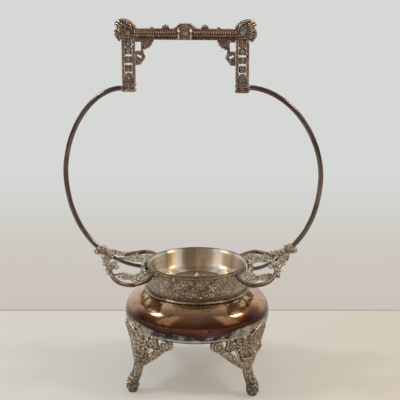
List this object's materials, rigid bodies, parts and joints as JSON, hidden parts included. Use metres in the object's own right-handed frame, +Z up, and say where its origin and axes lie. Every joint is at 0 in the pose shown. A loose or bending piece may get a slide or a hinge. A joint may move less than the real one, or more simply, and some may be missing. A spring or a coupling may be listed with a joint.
{
  "type": "brides basket stand",
  "caption": "Plated stand for a glass bowl: squat belly on cast legs, open pan in a collar, and a tall wire hoop with a pierced crossbar handle.",
  "frame": {"origin": "on the belly's axis, on the plane that the feet stand on; the racked handle leans about 10 mm towards -X", "axes": "+Z up along the belly's axis, +X along the crossbar and the hoop, front towards -Y"},
  "size_m": [0.2264, 0.128, 0.3163],
  "materials": {
    "tarnished_plate": "worn silver plate, mirror smooth, with copper and purple tarnish",
    "engraved_plate": "worn silver plate, chased and stippled",
    "bright_plate": "polished silver plate with a pale gold tone",
    "cast_metal": "cast and plated, grey brown patina",
    "ruddy_metal": "cast and plated, reddish brown patina",
    "dark_wire": "drawn wire, dark brown patina",
    "iron": "plain"
  },
  "bodies": {
    "root": {"body_lower": "tarnished_plate", "body_upper": "tarnished_plate", "collar": "engraved_plate", "collar_flange": "bright_plate", "cup_pan": "bright_plate", "cup_medallion": "engraved_plate", "acorn_nut": "bright_plate", "tie_bolt": "iron", "bottom_washer": "iron", "bottom_nut": "iron", "leg_front_left": "cast_metal", "leg_front_right": "cast_metal", "leg_rear_left": "cast_metal", "leg_rear_right": "cast_metal", "hoop_arm_left": "dark_wire", "hoop_arm_right": "dark_wire", "centre_rod_left": "dark_wire", "centre_rod_right": "dark_wire", "knuckle_left": "cast_metal", "knuckle_right": "cast_metal", "arm_boss_left": "cast_metal", "arm_boss_right": "cast_metal", "loop_front_left": "cast_metal", "loop_back_left": "cast_metal", "loop_front_right": "cast_metal", "loop_back_right": "cast_metal", "handle_bar": "ruddy_metal", "centre_block": "ruddy_metal", "handle_post_left": "ruddy_metal", "handle_post_right": "ruddy_metal", "socket_block_left": "ruddy_metal", "socket_block_right": "ruddy_metal", "end_palmette_left": "ruddy_metal", "end_palmette_right": "ruddy_metal", "corner_bracket_left": "ruddy_metal", "corner_bracket_right": "ruddy_metal", "finial_large_left": "ruddy_metal", "finial_large_right": "ruddy_metal", "finial_small_left": "ruddy_metal", "finial_small_right": "ruddy_metal"}
  },
  "joints": []
}
